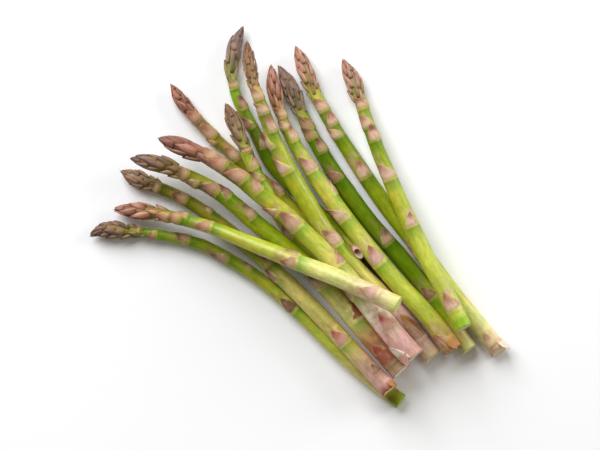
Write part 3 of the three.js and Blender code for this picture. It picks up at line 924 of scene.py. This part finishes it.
def bud_scale():
    """Bud scale: leathery and matt, dark at the point, with painted shade at the foot under the
    scale behind, a thin light edge and veins.
    """
    material, tree, shader = new_material(
        "asparagus_bud_scale", IOR=1.45, Specular_IOR_Level=0.3, Subsurface_Weight=0.05,
        Subsurface_Scale=0.8 * MM, Specular_Tint=(*linear("#fff3e1"), 1))
    grain, tone, rim, across, along, _ = sheet_marks(tree)
    veins, blotch, fleck = real_patterns(
        tree, grain,
        (0.5, 6, LEAF_APART, 3, 0.6),  # coarser than the real veins, as on the scale leaves
        (1.6, 4, LEAF_APART, 2, 0.5),
        (0.7, 1.6, LEAF_APART, 2, 0.6))
    base = lay_coats(
        tree, tone,
        (veins, 0.4, 0.7, 0.75, (0.5, 0.42, 0.4)),
        (blotch, 0.45, 0.7, 0.6, (1.35, 1.3, 1.3)),
        (fleck, 0.5, 0.68, 0.7, (1.45, 1.4, 1.4)))
    base = lay_coats(
        tree, base,
        (across, 0.6, 1, 0.8, rim),
        (along, 0.7, 1, 0.45, (0.4, 0.34, 0.36)),
        # painted shade at the foot, which lies under the scale behind
        (along, 0.5, 0.1, 0.45, (0.45, 0.4, 0.3)), smooth=True)
    finish_surface(tree, shader, base, veins, 0.5, 0.15, (veins, 0.3, 0.7, 0.42, 0.6))
    return material


def table_top():
    """White laminate table: nearly matt, with a very faint unevenness in its whiteness."""
    material, tree, shader = new_material("white_table_top", IOR=1.45, Roughness=0.7)
    coordinates = add_node(tree, "ShaderNodeTexCoord").outputs["Object"]
    cloud, = real_patterns(tree, coordinates, (400, 400, 400, 2, 0.5))
    base = lay_coats(tree, palette("floor"), (cloud, 0.3, 0.7, 0.03, (*linear("#ededed"), 1)))
    tree.links.new(base, shader.inputs["Base Color"])
    return material


# ---------------------------------------------------------------- operators

class ASPARAGUS_OT_stems(bpy.types.Operator):
    """Grow the thirteen stems over their CAD solids"""

    bl_idname = "asparagus.stems"
    bl_label = "Grow stems"

    def execute(self, context):
        materials = [stem_skin(), cut_flesh()]
        for spear in spears():
            stem_piece(spear, materials)
        return {"FINISHED"}


class ASPARAGUS_OT_leaves(bpy.types.Operator):
    """Lay the scale leaves along the stems"""

    bl_idname = "asparagus.leaves"
    bl_label = "Lay scale leaves"

    def execute(self, context):
        material = scale_leaf()
        for spear in spears():
            leaves_piece(spear, material)
        return {"FINISHED"}


class ASPARAGUS_OT_heads(bpy.types.Operator):
    """Close the bud scales over the heads"""

    bl_idname = "asparagus.heads"
    bl_label = "Close heads"

    def execute(self, context):
        material = bud_scale()
        for spear in spears():
            head_piece(spear, material)
        return {"FINISHED"}


VIEW_TURN = math.radians(-40)  # the top of the view points this far round from +Y
VIEW_MIDDLE = Vector((7.8 * MM, 11.1 * MM, 12 * MM))
VIEW_WIDTH = 360 * MM  # width of the view at VIEW_MIDDLE
CAMERA_HEIGHT = 3.0
SENSOR_WIDTH = 36  # millimetres, as the camera's lens is
# A large softbox stands beyond the tips, and a low one lights the right-hand sides of the stems.
KEY_LIGHT = dict(stand=(0.35, 2.0, 1.7), size=2.0, power=98.0, tint="#f8fbff")
FILL_LIGHT = dict(stand=(2.2, -0.7, 0.95), size=1.2, power=26.0, tint="#ffffff")
ROOM_TINT, ROOM_STRENGTH = "#fff7ec", 0.24
FLOOR_SIZE, FLOOR_CELLS = 12.0, 8


def add_area_light(name, stand, size, power, tint):
    """A square soft light at a place, aimed at the bundle."""
    data = bpy.data.lights.new(name, "AREA")
    data.size = size
    data.energy = power
    data.color = linear(tint)
    lamp = bpy.data.objects.new(name, data)
    lamp.location = stand
    lamp.rotation_euler = (VIEW_MIDDLE - Vector(stand)).to_track_quat("-Z", "Y").to_euler()
    bpy.context.scene.collection.objects.link(lamp)


class ASPARAGUS_OT_stage(bpy.types.Operator):
    """Set the table top, the studio light and the camera overhead"""

    bl_idname = "asparagus.stage"
    bl_label = "Set stage"

    def execute(self, context):
        scene = context.scene
        mesh = bmesh.new()
        bmesh.ops.create_grid(mesh, x_segments=FLOOR_CELLS, y_segments=FLOOR_CELLS,
                              size=FLOOR_SIZE / 2)
        data = bpy.data.meshes.new("table_top")
        mesh.to_mesh(data)
        mesh.free()
        data.materials.append(table_top())
        floor = bpy.data.objects.new("table_top", data)
        scene.collection.objects.link(floor)

        scene.world = bpy.data.worlds.new("studio")
        scene.world.use_nodes = True
        background = scene.world.node_tree.nodes["Background"]
        background.inputs["Color"].default_value = (*linear(ROOM_TINT), 1)
        background.inputs["Strength"].default_value = ROOM_STRENGTH
        add_area_light("key_light", **KEY_LIGHT)
        add_area_light("fill_light", **FILL_LIGHT)

        camera = bpy.data.cameras.new("camera")
        camera.sensor_width = SENSOR_WIDTH
        camera.lens = camera.sensor_width * CAMERA_HEIGHT / VIEW_WIDTH
        eye = bpy.data.objects.new("camera", camera)
        eye.location = VIEW_MIDDLE + Vector((0, 0, CAMERA_HEIGHT))
        eye.rotation_euler = (0, 0, VIEW_TURN)
        scene.collection.objects.link(eye)
        scene.camera = eye
        scene.view_settings.view_transform = "Standard"
        return {"FINISHED"}


class ASPARAGUS_PT_panel(bpy.types.Panel):
    """Steps that build the bundle, and its sizes and colours"""

    bl_idname = "ASPARAGUS_PT_panel"
    bl_label = "Asparagus"
    bl_space_type = "VIEW_3D"
    bl_region_type = "UI"
    bl_category = "Asparagus"

    def draw(self, context):
        layout = self.layout
        for operator in OPERATORS:
            layout.operator(operator.bl_idname)
        for group in (context.scene.asparagus_sizes, context.scene.asparagus_colours):
            box = layout.box()
            for name in group.bl_rna.properties.keys():
                if name not in ("rna_type", "name"):
                    box.prop(group, name)


OPERATORS = (ASPARAGUS_OT_stems, ASPARAGUS_OT_leaves, ASPARAGUS_OT_heads, ASPARAGUS_OT_stage)
CLASSES = (AsparagusSizes, AsparagusColours, *OPERATORS, ASPARAGUS_PT_panel)


def register():
    for cls in CLASSES:
        bpy.utils.register_class(cls)
    bpy.types.Scene.asparagus_sizes = PointerProperty(type=AsparagusSizes)
    bpy.types.Scene.asparagus_colours = PointerProperty(type=AsparagusColours)


def unregister():
    del bpy.types.Scene.asparagus_colours
    del bpy.types.Scene.asparagus_sizes
    for cls in reversed(CLASSES):
        bpy.utils.unregister_class(cls)


def main():
    register()
    bpy.ops.asparagus.stems()
    bpy.ops.asparagus.leaves()
    bpy.ops.asparagus.heads()
    bpy.ops.asparagus.stage()


if __name__ == "__main__":
    main()
